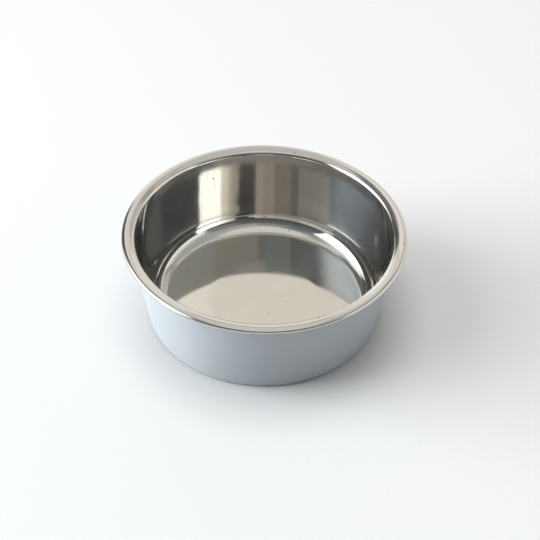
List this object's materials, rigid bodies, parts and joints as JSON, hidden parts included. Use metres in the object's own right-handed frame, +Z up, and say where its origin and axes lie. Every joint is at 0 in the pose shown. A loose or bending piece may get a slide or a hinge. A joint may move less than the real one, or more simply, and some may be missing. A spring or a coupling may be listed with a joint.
{
  "type": "pet bowl",
  "caption": "Round polished steel pet bowl with a wide flange and rolled edge, lifting out of a tapered grey moulded shell with a non-slip rubber ring underneath.",
  "frame": {"origin": "on the table, under the middle of the bowl", "axes": "+Z up along the bowl's axis; the bowl is round, so +X and +Y are free, with the picture taken from the -Y side"},
  "size_m": [0.165, 0.165, 0.058],
  "materials": {
    "polished_steel": "mirror-polished stainless steel",
    "grey_shell": "smooth satin, light blue-grey",
    "black_rubber": "matt moulded rubber"
  },
  "bodies": {
    "shell": {"outer_shell": "grey_shell", "non_slip_ring": "black_rubber"},
    "bowl": {"inner_bowl": "polished_steel"}
  },
  "joints": [
    {"name": "bowl_lift", "type": "slide", "parent": "shell", "child": "bowl", "axis": [0, 0, 1], "range_m": [0, 0.06]}
  ]
}
